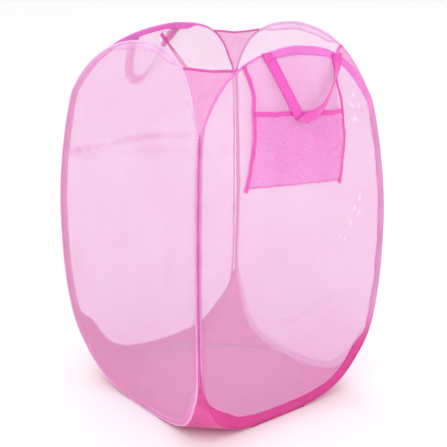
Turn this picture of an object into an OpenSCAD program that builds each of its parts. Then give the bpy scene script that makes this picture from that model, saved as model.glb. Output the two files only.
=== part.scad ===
// Pop-up mesh laundry bag: four sprung wire hoops in tape casings, joined at the
// corners, with sheer mesh walls, a nylon base, two carrying handles and a pocket.
// Origin: centre of the base, on the floor. +Z up, front panel towards -Y.

/* [Bag] */
// Width across two opposite panels at mid height
bag_width = 360; // [350:5:370]
// Height of a hoop, from the lowest to the highest point of its wire
hoop_height = 570; // [565:5:575]
// Height above the hoop's foot where the corner seams end at the top
seam_top = 474; // [470:2:478]
// Height above the hoop's foot where the corner seams start
seam_foot = 102; // [100:1:104]
// How far the panels draw in at the top
top_tuck = 35; // [33:1:37]
// How far the panels draw in at the base
base_tuck = 31; // [29:1:33]

/* [Hoops] */
// Radius of the spring wire
wire_r = 1.1; // [1:0.1:1.2]
// Half thickness of the tape casing
casing_half = 2.4; // [2.4:0.1:2.6]
// Width of the casings along the crown, and of the left and right casings along the foot
wide_band = 14; // [12:0.5:15]
// Width of the front and back casings along the foot
foot_band = 24; // [20:1:26]
// Width of the front and back casings up their right side
side_band = 12; // [10:0.5:13]
// Length of the crimp sleeve that joins a wire's ends
sleeve_length = 20; // [16:1:22]

/* [Fabric] */
// Thickness of the mesh walls and gussets
mesh_t = 0.8; // [0.7:0.1:1]
// Thickness of the nylon base
base_t = 1.2; // [1:0.1:1.4]
// Depth of the inner seam allowance at the corners
fin_depth = 8; // [6:1:9]
// Width of the tape along each top gusset
gusset_tape_width = 5; // [4:0.5:6]

/* [Handles] */
// Width of the handle webbing
strap_width = 17; // [15:1:18]
// Thickness of the handle webbing
strap_t = 1.4; // [1.2:0.1:1.5]

/* [Pocket] */
// How far the pocket's mouth stands off the wall
pocket_gap = 10; // [9.5:0.5:10.5]
// Width of the pocket's hem and bindings
binding_width = 7; // [6:0.5:8]

/* [Hidden] */

half = bag_width / 2;
mid = (seam_top + seam_foot) / 2;
// Wire centres stand this far back from the corner line, so two casings lie side by side
pinch = 3.5;
// Room between neighbouring pieces of fabric
gap = 0.2;
ground = casing_half;
// Extra inward lean of the four crowns: front, right, back, left
crown_lean = [-11, -15, 27, 18];
narrow_band = 2 * casing_half;

// Panels are numbered 0 front, 1 right, 2 back, 3 left
OUT = [[0, -1, 0], [1, 0, 0], [0, 1, 0], [-1, 0, 0]];
RIGHT = [[1, 0, 0], [0, 1, 0], [-1, 0, 0], [0, -1, 0]];
UP = [0, 0, 1];

function unit(v) = v / norm(v);
function clamp(x) = min(1, max(0, x));
function ramp(x) = let (c = clamp(x)) c * c * (3 - 2 * c);
function mix(a, b, t) = a + (b - a) * t;
function bezier(p, t) =
    pow(1 - t, 3) * p[0] + 3 * pow(1 - t, 2) * t * p[1] + 3 * (1 - t) * t * t * p[2] + t * t * t * p[3];

// Barrel shape: how far a wall stands in from the half width at height z
function tuck(z) =
    z > mid ? top_tuck * pow((z - mid) / (hoop_height - mid), 1.7) : base_tuck * pow((mid - z) / mid, 2.7);
function lean(k, z) =
    z > seam_top ? crown_lean[k] * pow((z - seam_top) / (hoop_height - seam_top), 2) : 0;
function stand(k, z) = half - tuck(z) - lean(k, z);

// A point on panel k: u along the panel, z above the hoop's foot, out from the wall
function wall_point(k, u, z, out = 0) = OUT[k] * (stand(k, z) + out) + RIGHT[k] * u + UP * (z + ground);
function wall_normal(k, z) = unit(cross(RIGHT[k], wall_point(k, 0, z + 1) - wall_point(k, 0, z - 1)));

// Right half of a hoop's outline in the panel, from the foot's centre to the crown's centre
top_u = half - tuck(seam_top) - pinch;
foot_u = half - tuck(seam_foot) - pinch;
arc_steps = 12;
side_steps = 8;
foot_arc = [[0, 0], [127, 0], [foot_u - 40, seam_foot - 74], [foot_u, seam_foot]];
crown_arc = [[top_u, seam_top], [top_u - 15, seam_top + 18], [122, hoop_height], [0, hoop_height]];
rough_outline = [
    for (i = [0:arc_steps]) bezier(foot_arc, i / arc_steps),
    for (i = [1:side_steps - 1])
        let (z = mix(seam_foot, seam_top, i / side_steps)) [half - tuck(z) - pinch, z],
    for (i = [0:arc_steps]) bezier(crown_arc, i / arc_steps)
];
last = len(rough_outline) - 1;
function eased(p) = [
    for (i = [0:last]) i == 0 || i == last ? p[i] : (p[i - 1] + 2 * p[i] + p[i + 1]) / 4
];
outline = eased(rough_outline);
seam_foot_row = arc_steps;
seam_top_row = arc_steps + side_steps;

// The outline moved in by its own amount at each row (negative moves it out)
function slope2(p, i) = unit(i == 0 ? [1, 0] : i == last ? [-1, 0] : p[i + 1] - p[i - 1]);
function moved_in(amount) = [
    for (i = [0:last]) let (s = slope2(outline, i)) outline[i] + [-s[1], s[0]] * amount[i]
];

// Width of the casing at a point of the outline; side is 1 on the right and -1 on the left
function front_or_back(k) = k % 2 == 0;
// Broad at crown and foot; the front and back casings also up their right side and over that shoulder,
// so that on their left they are narrow from partway along the crown down to the foot
function crown_part(k, side, u, z) =
    z <= seam_top ? 0 : front_or_back(k) && side < 0 ? ramp((54 - abs(u)) / 16) : ramp((95 - abs(u)) / 35);
function foot_part(k, side, z) =
    front_or_back(k) && side < 0 ? ramp((seam_foot - 18 - z) / 62) : ramp((seam_foot + 20 - z) / 45);
function side_part(k, side) = side > 0 && front_or_back(k) ? 1 : 0;
function band_width(k, side, p) = max(
    mix(narrow_band, wide_band, crown_part(k, side, p[0], p[1])),
    mix(narrow_band, front_or_back(k) ? foot_band : wide_band, foot_part(k, side, p[1])),
    mix(narrow_band, side_band, side_part(k, side))
);
function bands(k, side) = [for (p = outline) band_width(k, side, p)];
function inner_edge(k, side) = moved_in([for (b = bands(k, side)) b - casing_half + gap]);
outer_edge = moved_in([for (p = outline) -casing_half - gap]);

// The whole hoop, up the right side and down the left
loop = concat(outline, [for (i = [last - 1:-1:1]) [-outline[i][0], outline[i][1]]]);
function loop_bands(k) = let (left = bands(k, -1)) concat(bands(k, 1), [for (i = [last - 1:-1:1]) left[i]]);
rings = len(loop);

// A section of the hoop: across is its radius in the panel, thick its radius through the panel
function hoop_ring(k, i, across, thick, shift, sides) =
    let (
        here = wall_point(k, loop[i][0], loop[i][1]),
        next = loop[(i + 1) % rings],
        before = loop[(i + rings - 1) % rings],
        along = unit(wall_point(k, next[0], next[1]) - wall_point(k, before[0], before[1])),
        facing = wall_normal(k, loop[i][1]),
        inward = unit(cross(facing, along)),
        normal = cross(along, inward)
    )
    [
        for (j = [0:sides - 1])
            here + inward * (shift + across * cos(360 * j / sides)) + normal * thick * sin(360 * j / sides)
    ];

// Solid through a list of rings, each with the same number of points
module sweep(sections, closed = false) {
    n = len(sections);
    s = len(sections[0]);
    spans = closed ? n : n - 1;
    sides = [
        for (i = [0:spans - 1], j = [0:s - 1])
            let (
                a = i * s + j,
                b = i * s + (j + 1) % s,
                c = ((i + 1) % n) * s + (j + 1) % s,
                d = ((i + 1) % n) * s + j
            )
            each [[a, c, b], [a, d, c]]
    ];
    start = [for (j = [0:s - 1]) j];
    finish = [for (j = [s - 1:-1:0]) (n - 1) * s + j];
    polyhedron([for (r = sections) each r], closed ? sides : concat(sides, [start, finish]));
}

// Sheet of thickness t between two rows of edge points, both running upwards
module sheet_between(left, right, t) {
    count = len(left);
    sweep([
        for (i = [0:count - 1])
            let (
                low = max(0, i - 1),
                high = min(count - 1, i + 1),
                rise = left[high] + right[high] - left[low] - right[low],
                n = unit(cross(right[i] - left[i], rise)) * t / 2
            )
            [left[i] + n, right[i] + n, right[i] - n, left[i] - n]
    ]);
}

module wire(k) {
    color("silver")
        sweep([for (i = [0:rings - 1]) hoop_ring(k, i, wire_r, wire_r, 0, 8)], closed = true);
}

sleeve_r = 1.5;
bore_r = 1.25;
channel_r = 1.75;

// A ring of the hoop so far from its foot's centre, measured along the wire
function foot_ring(k, offset, r) =
    let (
        share = abs(offset) / norm(loop[1] - loop[0]),
        middle = hoop_ring(k, 0, r, r, 0, 8),
        beyond = hoop_ring(k, offset > 0 ? 1 : rings - 1, r, r, 0, 8)
    )
    [for (j = [0:7]) mix(middle[j], beyond[j], share)];

module crimp_sleeves() {
    reach = sleeve_length / 2;
    color("dimgray")
        for (k = [0:3])
            difference() {
                sweep([for (x = [-reach, 0, reach]) foot_ring(k, x, sleeve_r)]);
                sweep([for (x = [-reach - 1, 0, reach + 1]) foot_ring(k, x, bore_r)]);
            }
}

module casing(k, tape_color) {
    widths = loop_bands(k);
    color(tape_color)
        difference() {
            sweep(
                [
                    for (i = [0:rings - 1])
                        let (across = widths[i] / 2)
                        hoop_ring(k, i, across, casing_half, across - casing_half, 10)
                ],
                closed = true
            );
            sweep([for (i = [0:rings - 1]) hoop_ring(k, i, channel_r, channel_r, 0, 8)], closed = true);
        }
}

// The mesh leaves out the foot's and the crown's centre, where it would have no width
mesh_first = 1;
mesh_last = last - 1;

module mesh_wall(k) {
    rows = [mesh_first:mesh_last];
    left = inner_edge(k, -1);
    right = inner_edge(k, 1);
    color([0.96, 0.82, 0.91, 0.6])
        sheet_between(
            [for (i = rows) wall_point(k, -left[i][0], left[i][1])],
            [for (i = rows) wall_point(k, right[i][0], right[i][1])],
            mesh_t
        );
}

// Corner k lies between panel k's right side and the next panel's left side
function next_panel(k) = (k + 1) % 4;
function diagonal(k) = unit(OUT[k] + OUT[next_panel(k)]);
function corner_point(k, z, inwards) =
    (OUT[k] + OUT[next_panel(k)]) * (half - tuck(z)) + UP * (z + ground) - diagonal(k) * inwards;

fin_start = 4.3;

module corner_seam(k) {
    across = unit(OUT[next_panel(k)] - OUT[k]) * 0.5;
    color([0.9, 0.45, 0.7])
        sweep([
            for (i = [0:16])
                let (
                    z = mix(seam_foot, seam_top, i / 16),
                    outer = corner_point(k, z, fin_start),
                    inner = corner_point(k, z, fin_start + fin_depth)
                )
                [inner + across, inner - across, outer - across, outer + across]
        ]);
}

// Rows of the outline that a gusset spans at corner k, with both edges outside the casings
module gusset(k, rows, t) {
    sheet_between(
        [for (i = rows) wall_point(k, outer_edge[i][0], outer_edge[i][1])],
        [for (i = rows) wall_point(next_panel(k), -outer_edge[i][0], outer_edge[i][1])],
        t
    );
}

top_gusset_last = seam_top_row + 8;

module top_gusset(k) {
    color([0.98, 0.62, 0.85, 0.8])
        gusset(k, [seam_top_row + 1:top_gusset_last], mesh_t);
}

// Binding along the gusset's upper edge, just clear of the gusset and of both casings
top_tape_t = 1.8;
top_tape_end_gap = 1;

module top_tape(k) {
    edge = outer_edge[top_gusset_last];
    below = edge + unit(outer_edge[top_gusset_last - 1] - edge);
    left = wall_point(k, edge[0], edge[1]);
    right = wall_point(next_panel(k), -edge[0], edge[1]);
    along = unit(right - left) * top_tape_end_gap;
    rise = unit(
        left + right - wall_point(k, below[0], below[1]) - wall_point(next_panel(k), -below[0], below[1])
    );
    start = left + rise * gap + along;
    finish = right + rise * gap - along;
    top = rise * gusset_tape_width;
    color([0.95, 0.3, 0.68])
        sheet_between([start, start + top], [finish, finish + top], top_tape_t);
}

// The base is flat as far as the first row of its corner gussets
base_gusset_first = 2;
base_stand = stand(0, 0) - casing_half - gap;
base_flat = outline[base_gusset_first][0];

module base_panel() {
    color([0.85, 0.19, 0.56])
        linear_extrude(base_t)
            polygon([
                for (k = [0:3]) each [
                    [for (a = [0, 1]) OUT[k][a] * base_stand - RIGHT[k][a] * base_flat],
                    [for (a = [0, 1]) OUT[k][a] * base_stand + RIGHT[k][a] * base_flat]
                ]
            ]);
}

module base_gusset(k) {
    color([0.87, 0.22, 0.6])
        gusset(k, [base_gusset_first:seam_foot_row], base_t);
}

// Handles: each row is the sewn ends and the strap's fold, in panel u and z
front_handle = [[-40, 555], [86, 540], [5, 468]];
back_handle = [[-12, 553], [60, 547], [36, 484]];
// Height of the hinge line above the wall, and how far out the fold hangs
hinge_out = 5;
front_fold_out = 17;
back_fold_out = 8;

function hinge_end(k, end) = wall_point(k, end[0], end[1], hinge_out);

// A frame in which the handle lies flat: x along the hinge line and -y towards the fold
module handle_plane(k, handle, fold_out) {
    a = hinge_end(k, handle[0]);
    b = hinge_end(k, handle[1]);
    f = wall_point(k, handle[2][0], handle[2][1], fold_out);
    x = unit(b - a);
    y = unit((a - f) - x * ((a - f) * x));
    z = cross(x, y);
    multmatrix([
        [x[0], y[0], z[0], a[0]],
        [x[1], y[1], z[1], a[1]],
        [x[2], y[2], z[2], a[2]],
        [0, 0, 0, 1]
    ])
        children();
}

function hinge_span(k, handle) = norm(hinge_end(k, handle[1]) - hinge_end(k, handle[0]));
function fold_point(k, handle, fold_out) =
    let (
        a = hinge_end(k, handle[0]),
        b = hinge_end(k, handle[1]),
        f = wall_point(k, handle[2][0], handle[2][1], fold_out),
        x = unit(b - a),
        run = (f - a) * x
    )
    [run, -norm(f - a - x * run)];

// Where two lines meet, each given by a point and a direction
function turn(a, b) = a[0] * b[1] - a[1] * b[0];
function crossing(p, d, q, e) = p + d * turn(q - p, e) / turn(d, e);

// The strap's V, level along the hinge line and folded across at its lowest point
module strap_outline(span, fold) {
    left = unit(fold);
    right = unit(fold - [span, 0]);
    left_side = [-left[1], left[0]] * strap_width / 2;
    right_side = [-right[1], right[0]] * strap_width / 2;
    left_level = [strap_width / 2 / abs(left[1]), 0];
    right_level = [strap_width / 2 / abs(right[1]), 0];
    polygon([
        -left_level,
        left_level,
        crossing(left_side, left, [span, 0] - right_side, right),
        [span, 0] - right_level,
        [span, 0] + right_level,
        fold + right_side + right * strap_width / 4,
        fold - left_side + left * strap_width / 4
    ]);
}

module handle_strap(k, handle, fold_out) {
    color([0.98, 0.24, 0.76])
        handle_plane(k, handle, fold_out)
            translate([0, 0, -strap_t / 2])
                linear_extrude(strap_t)
                    strap_outline(hinge_span(k, handle), fold_point(k, handle, fold_out));
}

// Sewn patches on the casing, just above the strap's ends
tab_height = 9;
tab_t = 1.2;
tab_out = casing_half + 0.9;

module handle_tabs(k, handle) {
    color([0.93, 0.2, 0.65])
        for (end = [handle[0], handle[1]]) {
            p = wall_point(k, end[0], end[1] + 1.5, tab_out);
            q = wall_point(k, end[0], end[1] + 1.5 + tab_height, tab_out);
            sideways = RIGHT[k] * strap_width / 2;
            n = unit(cross(RIGHT[k], q - p)) * tab_t / 2;
            sheet_between([p - sideways + n, q - sideways + n], [p + sideways + n, q + sideways + n], tab_t);
        }
}

// Pocket on the front panel, a little lower on its right side
pocket_top_left = [-82, 549];
pocket_top_right = [81, 537];
// Ends of the backing layer's top edge, under the crown
pocket_crest_left = [-48, 551];
pocket_crest_right = [44, 552];
hem_left = [-75, 493];
hem_right = [88, 474];
pocket_foot_left = [-94, 389];
pocket_foot_right = [82, 370];
pocket_back_out = 1.3;
pocket_foot_out = 2.6;
// The layers lap this far over the bindings; shares of the pocket's depth that its edges take
lap = 5;
hem_share = 0.065;
foot_share = 0.06;
hem_t = 1.4;
foot_seam_t = 1.2;

function pocket_left(t) = [
    mix(hem_left[0], pocket_foot_left[0], t * t), mix(hem_left[1], pocket_foot_left[1], t)
];
function pocket_right(t) = [
    mix(hem_right[0], pocket_foot_right[0], t) + 5 * sin(180 * t), mix(hem_right[1], pocket_foot_right[1], t)
];
// The same edges above the hem, as far as the crown
function above_left(rise) = mix(hem_left, pocket_top_left, rise) + [6 * sin(180 * rise), 0];
function above_right(rise) = mix(hem_right, pocket_top_right, rise);
function pocket_out(t) = mix(pocket_gap, pocket_foot_out, t);

module pocket_back() {
    rows = [for (i = [8:-1:0]) i / 8];
    rises = [1 / 3, 2 / 3, 1];
    color([0.97, 0.66, 0.87, 0.7])
        sheet_between(
            [
                for (t = rows) let (p = pocket_left(t)) wall_point(0, p[0] + lap, p[1], pocket_back_out),
                for (r = rises) let (p = above_left(r)) wall_point(0, p[0] + lap, p[1], pocket_back_out),
                wall_point(0, pocket_crest_left[0], pocket_crest_left[1], pocket_back_out)
            ],
            [
                for (t = rows) let (p = pocket_right(t)) wall_point(0, p[0] - lap, p[1], pocket_back_out),
                for (r = rises) let (p = above_right(r)) wall_point(0, p[0] - lap, p[1], pocket_back_out),
                wall_point(0, pocket_crest_right[0], pocket_crest_right[1], pocket_back_out)
            ],
            mesh_t
        );
}

module pocket_front() {
    rows = [for (i = [7:-1:0]) mix(hem_share + 0.005, 1 - foot_share - 0.01, i / 7)];
    color([0.96, 0.5, 0.84, 0.8])
        sheet_between(
            [for (t = rows) let (p = pocket_left(t)) wall_point(0, p[0] + lap, p[1], pocket_out(t))],
            [for (t = rows) let (p = pocket_right(t)) wall_point(0, p[0] - lap, p[1], pocket_out(t))],
            mesh_t
        );
}

module pocket_hem() {
    color([0.95, 0.34, 0.78])
        sheet_between(
            [for (t = [hem_share, 0]) let (p = pocket_left(t)) wall_point(0, p[0] + lap, p[1], pocket_out(t))],
            [for (t = [hem_share, 0]) let (p = pocket_right(t)) wall_point(0, p[0] - lap, p[1], pocket_out(t))],
            hem_t
        );
}

module pocket_bottom_seam() {
    color([0.95, 0.5, 0.82])
        sheet_between(
            [for (t = [1, 1 - foot_share]) let (p = pocket_left(t)) wall_point(0, p[0] + lap, p[1], pocket_out(t))],
            [for (t = [1, 1 - foot_share]) let (p = pocket_right(t)) wall_point(0, p[0] - lap, p[1], pocket_out(t))],
            foot_seam_t
        );
}

// Bindings stand between the pocket's two layers, close its sides and run on up to the crown
module pocket_binding(side_points, above_points) {
    inner = 0.6;
    side = binding_width / 2;
    color([0.93, 0.36, 0.76])
        sweep([
            for (i = [8:-1:-3])
                let (
                    t = max(0, i / 8),
                    rise = max(0, -i / 3),
                    p = rise > 0 ? above_points(rise) : side_points(t),
                    out = mix(pocket_out(t) + 0.8, 2.4, rise)
                )
                [
                    wall_point(0, p[0] - side, p[1], out), wall_point(0, p[0] + side, p[1], out),
                    wall_point(0, p[0] + side, p[1], inner), wall_point(0, p[0] - side, p[1], inner)
                ]
        ]);
}

module pocket_left_binding() {
    pocket_binding(function (t) pocket_left(t), function (rise) above_left(rise));
}

module pocket_right_binding() {
    pocket_binding(function (t) pocket_right(t), function (rise) above_right(rise));
}

// Elastic storage loop that hangs inside from the back crown
closure_top = [-15, 122, 553];
closure_foot = [27, 122, 500];
closure_width = 8;
closure_cord = 2.6;

module closure_loop() {
    run = closure_foot - closure_top;
    color([0.97, 0.6, 0.84])
        translate(closure_top)
            rotate([0, atan2(-run[2], run[0]), 0])
                rotate([-90, 0, 0])
                    linear_extrude(1.4, center = true)
                        difference() {
                            hull() {
                                circle(d = closure_cord * 1.6, $fn = 24);
                                translate([norm(run) - closure_width / 2, 0])
                                    circle(d = closure_width, $fn = 24);
                            }
                            hull() {
                                translate([norm(run) * 0.4, 0])
                                    circle(d = 1, $fn = 24);
                                translate([norm(run) - closure_width / 2, 0])
                                    circle(d = closure_width - 2 * closure_cord, $fn = 24);
                            }
                        }
}

wire(0);  // front_wire
wire(1);  // right_wire
wire(2);  // back_wire
wire(3);  // left_wire
crimp_sleeves();
casing(0, [0.95, 0.34, 0.74]);  // front_casing
casing(1, [0.97, 0.72, 0.9]);  // right_casing
casing(2, [0.95, 0.4, 0.76]);  // back_casing
casing(3, [0.97, 0.74, 0.91]);  // left_casing
mesh_wall(0);  // front_mesh
mesh_wall(1);  // right_mesh
mesh_wall(2);  // back_mesh
mesh_wall(3);  // left_mesh
corner_seam(3);  // front_left_seam
corner_seam(0);  // front_right_seam
corner_seam(1);  // back_right_seam
corner_seam(2);  // back_left_seam
top_gusset(3);  // front_left_top_gusset
top_gusset(0);  // front_right_top_gusset
top_gusset(1);  // back_right_top_gusset
top_gusset(2);  // back_left_top_gusset
top_tape(3);  // front_left_top_tape
top_tape(0);  // front_right_top_tape
top_tape(1);  // back_right_top_tape
top_tape(2);  // back_left_top_tape
base_panel();
base_gusset(3);  // front_left_base_gusset
base_gusset(0);  // front_right_base_gusset
base_gusset(1);  // back_right_base_gusset
base_gusset(2);  // back_left_base_gusset
handle_tabs(0, front_handle);  // front_handle_tabs
handle_tabs(2, back_handle);  // back_handle_tabs
handle_strap(0, front_handle, front_fold_out);  // front_handle_strap
handle_strap(2, back_handle, back_fold_out);  // back_handle_strap
pocket_back();
pocket_front();
pocket_hem();
pocket_left_binding();
pocket_right_binding();
pocket_bottom_seam();
closure_loop();
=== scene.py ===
"""Looks for the pop-up mesh laundry bag: tape casings, sheer mesh walls, nylon base, straps and pocket."""

import math

import bpy
import numpy as np
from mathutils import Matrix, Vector


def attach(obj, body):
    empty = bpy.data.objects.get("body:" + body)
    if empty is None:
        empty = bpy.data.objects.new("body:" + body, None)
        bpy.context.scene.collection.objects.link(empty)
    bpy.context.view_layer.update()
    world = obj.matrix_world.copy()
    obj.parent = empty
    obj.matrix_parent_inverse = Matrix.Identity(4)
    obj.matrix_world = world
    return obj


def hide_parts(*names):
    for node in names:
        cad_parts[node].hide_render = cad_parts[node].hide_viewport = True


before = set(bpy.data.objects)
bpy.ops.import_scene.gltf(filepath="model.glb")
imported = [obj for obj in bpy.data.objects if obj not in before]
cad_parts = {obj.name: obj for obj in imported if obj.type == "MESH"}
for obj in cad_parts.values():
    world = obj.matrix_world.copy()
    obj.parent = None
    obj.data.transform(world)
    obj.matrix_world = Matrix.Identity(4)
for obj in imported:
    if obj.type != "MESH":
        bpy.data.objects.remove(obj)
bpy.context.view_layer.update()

# ---------------- the bag's shape, in millimetres

MM = 0.001
HALF = 180.0
HOOP_HEIGHT = 570.0
SEAM_TOP = 474.0
SEAM_FOOT = 102.0
MID = (SEAM_TOP + SEAM_FOOT) / 2
TOP_TUCK = 35.0
BASE_TUCK = 31.0
# How far each panel's crown leans in: front, right, back, left
CROWN_LEAN = (-11.0, -15.0, 27.0, 18.0)
PINCH = 3.5
# Handles of the curves that draw the foot and the crown of a hoop
FOOT_FLAT, FOOT_IN, FOOT_DROP = 127.0, 40.0, 74.0
CROWN_FLAT, CROWN_IN, CROWN_RISE = 122.0, 15.0, 18.0
ARC_STEPS = 12
SIDE_STEPS = 8
CASING_HALF = 2.4
# The wires' feet stand this high, so that the casings round them rest on the ground
GROUND = CASING_HALF
# Widths of the casings
NARROW_BAND = 2 * CASING_HALF
WIDE_BAND = 14.0
FOOT_BAND = 24.0
SIDE_BAND = 12.0
# Where broad crowns and feet end and over how far they fade, then the same on the front and back's left side
CROWN_REACH, CROWN_FADE = 95.0, 35.0
FOOT_REACH, FOOT_FADE = SEAM_FOOT + 20, 45.0
LEFT_CROWN_REACH, LEFT_CROWN_FADE = 54.0, 16.0
LEFT_FOOT_REACH, LEFT_FOOT_FADE = SEAM_FOOT - 18, 62.0

FRONT, RIGHT_SIDE, BACK, LEFT_SIDE = range(4)
PANELS = ("front", "right", "back", "left")
CORNERS = ("front_right", "back_right", "back_left", "front_left")
OUT = np.array([[0, -1, 0], [1, 0, 0], [0, 1, 0], [-1, 0, 0]], float)
ALONG = np.array([[1, 0, 0], [0, 1, 0], [-1, 0, 0], [0, -1, 0]], float)
UP = np.array([0.0, 0.0, 1.0])


def unit(v):
    """Directions of length 1, along the last axis."""
    return v / np.linalg.norm(v, axis=-1, keepdims=True)


def next_panel(k):
    return (k + 1) % 4


# Outwards at each corner, corner k being between panel k and the next
DIAGONAL = unit(np.array([OUT[k] + OUT[next_panel(k)] for k in range(4)]))


def ramp(x):
    c = np.clip(x, 0, 1)
    return c * c * (3 - 2 * c)


def mix(a, b, t):
    return a + (b - a) * t


def tuck(z):
    """How far a seam stands in from the box at height z: the sides lean in towards crown and base."""
    above = np.clip((z - MID) / (HOOP_HEIGHT - MID), 0, None)
    below = np.clip((MID - z) / MID, 0, None)
    return TOP_TUCK * above**1.7 + BASE_TUCK * below**2.7


def stand(k, z):
    """How far panel k stands from the bag's middle at height z."""
    lean = CROWN_LEAN[k] * np.clip((z - SEAM_TOP) / (HOOP_HEIGHT - SEAM_TOP), 0, None) ** 2
    return HALF - tuck(z) - lean


def wall_point(k, u, z, out=0.0):
    """A point of panel k, in metres: u along the panel, z above the hoop's foot, out from the wall."""
    u, z, out = np.broadcast_arrays(*(np.asarray(x, float) for x in (u, z, out)))
    place = OUT[k] * (stand(k, z) + out)[..., None] + ALONG[k] * u[..., None] + UP * (z + GROUND)[..., None]
    return place * MM


def wall_normal(k, z):
    z = np.asarray(z, float)
    rise = wall_point(k, 0, z + 1) - wall_point(k, 0, z - 1)
    return unit(np.cross(ALONG[k], rise))


def bezier(p, t):
    p = np.array(p, float)
    return (1 - t) ** 3 * p[0] + 3 * (1 - t) ** 2 * t * p[1] + 3 * (1 - t) * t * t * p[2] + t**3 * p[3]


def hoop_outline():
    """Right half of a hoop, from the foot's centre to the crown's centre, as (u, z) rows."""
    top_u = HALF - tuck(SEAM_TOP) - PINCH
    foot_u = HALF - tuck(SEAM_FOOT) - PINCH
    foot = [[0, 0], [FOOT_FLAT, 0], [foot_u - FOOT_IN, SEAM_FOOT - FOOT_DROP], [foot_u, SEAM_FOOT]]
    crown = [[top_u, SEAM_TOP], [top_u - CROWN_IN, SEAM_TOP + CROWN_RISE], [CROWN_FLAT, HOOP_HEIGHT],
             [0, HOOP_HEIGHT]]
    rows = [bezier(foot, i / ARC_STEPS) for i in range(ARC_STEPS + 1)]
    for i in range(1, SIDE_STEPS):
        z = mix(SEAM_FOOT, SEAM_TOP, i / SIDE_STEPS)
        rows.append(np.array([HALF - tuck(z) - PINCH, z]))
    rows += [bezier(crown, i / ARC_STEPS) for i in range(ARC_STEPS + 1)]
    rough = np.array(rows)
    eased = rough.copy()
    eased[1:-1] = (rough[:-2] + 2 * rough[1:-1] + rough[2:]) / 4
    return eased


OUTLINE = hoop_outline()
LAST = len(OUTLINE) - 1
SEAM_FOOT_ROW = ARC_STEPS
SEAM_TOP_ROW = ARC_STEPS + SIDE_STEPS
LOOP = np.vstack([OUTLINE, OUTLINE[-2:0:-1] * [-1, 1]])


def smooth_rows(points, where, closed=False):
    """Smooth curve through a list of points, read at fractional rows."""
    n = len(points)
    where = np.asarray(where, float)
    i = np.floor(where).astype(int)
    if not closed:
        i = np.clip(i, 0, n - 2)
    t = (where - i)[..., None]
    pick = (lambda j: points[j % n]) if closed else (lambda j: points[np.clip(j, 0, n - 1)])
    p0, p1, p2, p3 = (pick(i + d) for d in (-1, 0, 1, 2))
    return 0.5 * (2 * p1 + (p2 - p0) * t + (2 * p0 - 5 * p1 + 4 * p2 - p3) * t**2
                  + (3 * p1 - p0 - 3 * p2 + p3) * t**3)


def band_width(k, side, u, z):
    """Width of the casing: broad at crown and foot; the front and back ones also up their right side and
    over that shoulder, so that on their left they are narrow from partway along the crown to the foot."""
    front_or_back = k in (FRONT, BACK)
    crown = ramp((CROWN_REACH - np.abs(u)) / CROWN_FADE)
    foot = ramp((FOOT_REACH - z) / FOOT_FADE)
    right = np.where((side > 0) & front_or_back, 1.0, 0.0) + 0 * z
    if front_or_back:
        crown = np.where(side < 0, ramp((LEFT_CROWN_REACH - np.abs(u)) / LEFT_CROWN_FADE), crown)
        foot = np.where(side < 0, ramp((LEFT_FOOT_REACH - z) / LEFT_FOOT_FADE), foot)
    at_crown = mix(NARROW_BAND, WIDE_BAND, np.where(z > SEAM_TOP, crown, 0))
    at_foot = mix(NARROW_BAND, FOOT_BAND if front_or_back else WIDE_BAND, foot)
    at_right = mix(NARROW_BAND, SIDE_BAND, right)
    return np.maximum(np.maximum(at_crown, at_foot), at_right)


def edge_rows(side, rows, inset):
    """Half outline on one side at fractional rows, moved in by inset (a number or one for each row)."""
    p = smooth_rows(OUTLINE, rows)
    step = 0.05
    ahead = smooth_rows(OUTLINE, np.clip(rows + step, 0, LAST))
    behind = smooth_rows(OUTLINE, np.clip(rows - step, 0, LAST))
    s = unit(ahead - behind)
    normal = np.stack([-s[:, 1], s[:, 0]], 1)
    q = p + normal * np.reshape(inset, (-1, 1))
    return q[:, 0] * side, q[:, 1]


# ---------------- mesh building

def new_object(name, verts, faces, uvs=None, smooth=True):
    """Mesh object from rows of points; uvs has one (u, v) pair in metres for each vertex."""
    mesh = bpy.data.meshes.new(name)
    mesh.from_pydata([tuple(map(float, v)) for v in verts], [], faces)
    if uvs is not None:
        layer = mesh.uv_layers.new(name="UVMap")
        corners = np.empty(len(mesh.loops), int)
        mesh.loops.foreach_get("vertex_index", corners)
        layer.data.foreach_set("uv", np.asarray(uvs, float)[corners].ravel())
    mesh.polygons.foreach_set("use_smooth", [smooth] * len(mesh.polygons))
    mesh.update()
    obj = bpy.data.objects.new(name, mesh)
    bpy.context.scene.collection.objects.link(obj)
    return obj


def tube_faces(rings, sides, closed):
    """Quads along a stack of rings, with flat caps when the stack is open."""
    spans = rings if closed else rings - 1
    faces = []
    for i in range(spans):
        a, b = i * sides, ((i + 1) % rings) * sides
        faces += [(a + j, a + (j + 1) % sides, b + (j + 1) % sides, b + j) for j in range(sides)]
    if not closed:
        faces.append(tuple(range(sides))[::-1])
        faces.append(tuple((rings - 1) * sides + j for j in range(sides)))
    return faces


def sheet_object(name, grid, uv, thickness):
    """Closed thin cloth through a grid of points (rows, columns, 3)."""
    rows, cols = grid.shape[:2]
    across = np.gradient(grid, axis=1)
    up = np.gradient(grid, axis=0)
    normal = unit(np.cross(across, up))
    half = normal * thickness / 2
    front = (grid + half).reshape(-1, 3)
    back = (grid - half).reshape(-1, 3)
    n = rows * cols
    faces = []
    for i in range(rows - 1):
        for j in range(cols - 1):
            a = i * cols + j
            faces.append((a, a + 1, a + cols + 1, a + cols))
            faces.append((n + a, n + a + cols, n + a + cols + 1, n + a + 1))
    rim = list(range(cols))
    rim += [i * cols + cols - 1 for i in range(1, rows)]
    rim += [(rows - 1) * cols + j for j in range(cols - 2, -1, -1)]
    rim += [i * cols for i in range(rows - 2, 0, -1)]
    for a, b in zip(rim, rim[1:] + rim[:1]):
        faces.append((a, n + a, n + b, b))
    uvs = np.vstack([uv.reshape(-1, 2)] * 2)
    return new_object(name, np.vstack([front, back]), faces, uvs)


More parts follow.
